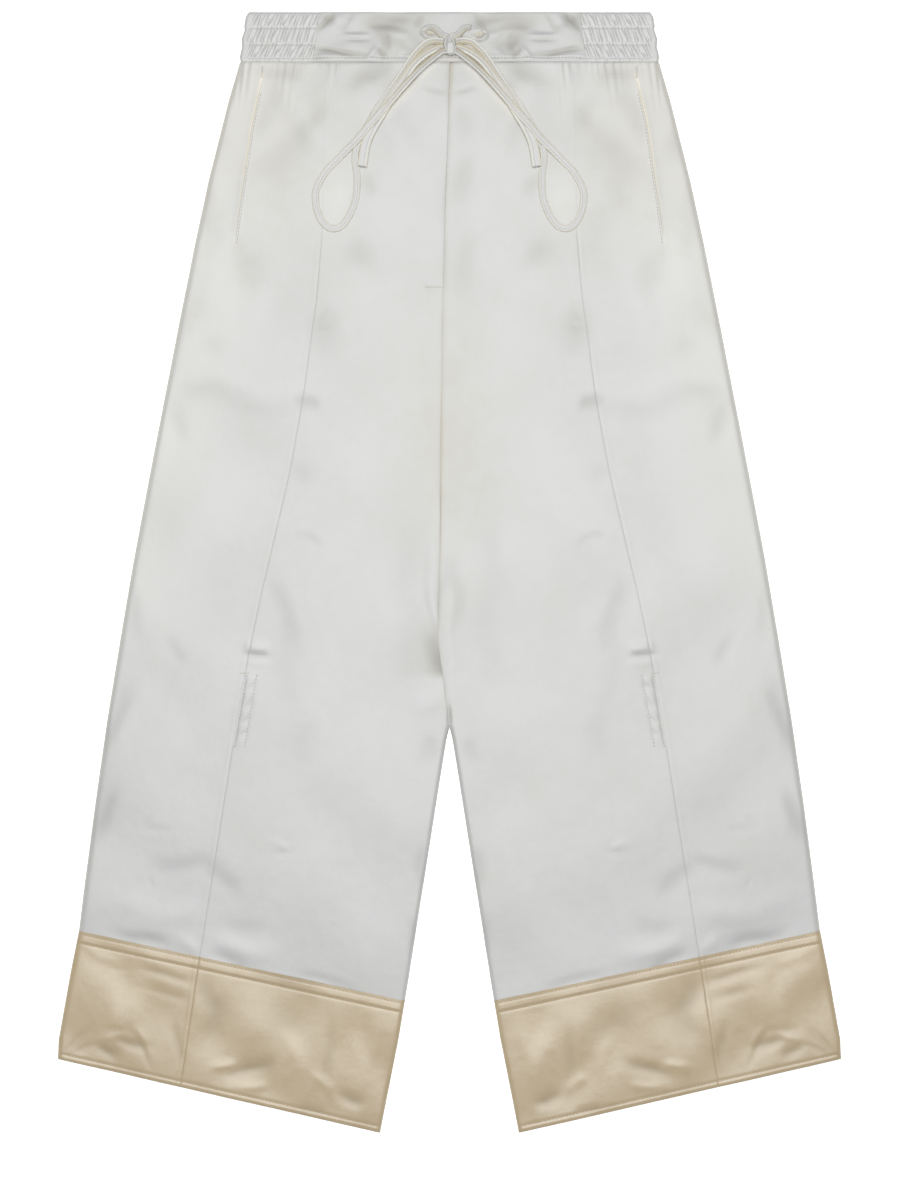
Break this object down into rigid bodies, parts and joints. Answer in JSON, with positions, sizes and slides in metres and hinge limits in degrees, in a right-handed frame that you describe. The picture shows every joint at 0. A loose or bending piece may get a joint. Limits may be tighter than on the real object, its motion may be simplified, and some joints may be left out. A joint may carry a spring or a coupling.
{
  "type": "drawstring trousers",
  "caption": "Wide cropped trousers laid flat, with gathered elastic sides at the waist, a tied drawstring bow, slit pockets and contrast cuffs.",
  "frame": {"origin": "middle of the trousers' outline, on the surface that they lie on", "axes": "+Y from the hems towards the waist, +Z out of the front, +X towards the wearer's left leg, which is on the viewer's right"},
  "size_m": [0.7052, 1.009, 0.0122],
  "materials": {
    "ivory_satin": "soft satin",
    "champagne_satin": "soft satin"
  },
  "bodies": {
    "root": {"front_outer_left": "ivory_satin", "front_outer_right": "ivory_satin", "front_inner_left": "ivory_satin", "front_inner_right": "ivory_satin", "back_left": "ivory_satin", "back_right": "ivory_satin", "waistband_front": "ivory_satin", "waistband_back": "ivory_satin", "waistband_elastic_left": "ivory_satin", "waistband_elastic_right": "ivory_satin", "pocket_facing_left": "ivory_satin", "pocket_facing_right": "ivory_satin", "cuff_outer_left": "champagne_satin", "cuff_outer_right": "champagne_satin", "cuff_inner_left": "champagne_satin", "cuff_inner_right": "champagne_satin", "cuff_back_left": "champagne_satin", "cuff_back_right": "champagne_satin", "drawstring_knot": "ivory_satin", "drawstring_root_left": "ivory_satin", "drawstring_root_right": "ivory_satin", "drawstring_loop_left": "ivory_satin", "drawstring_loop_right": "ivory_satin", "drawstring_tail_left": "ivory_satin", "drawstring_tail_right": "ivory_satin"}
  },
  "joints": []
}
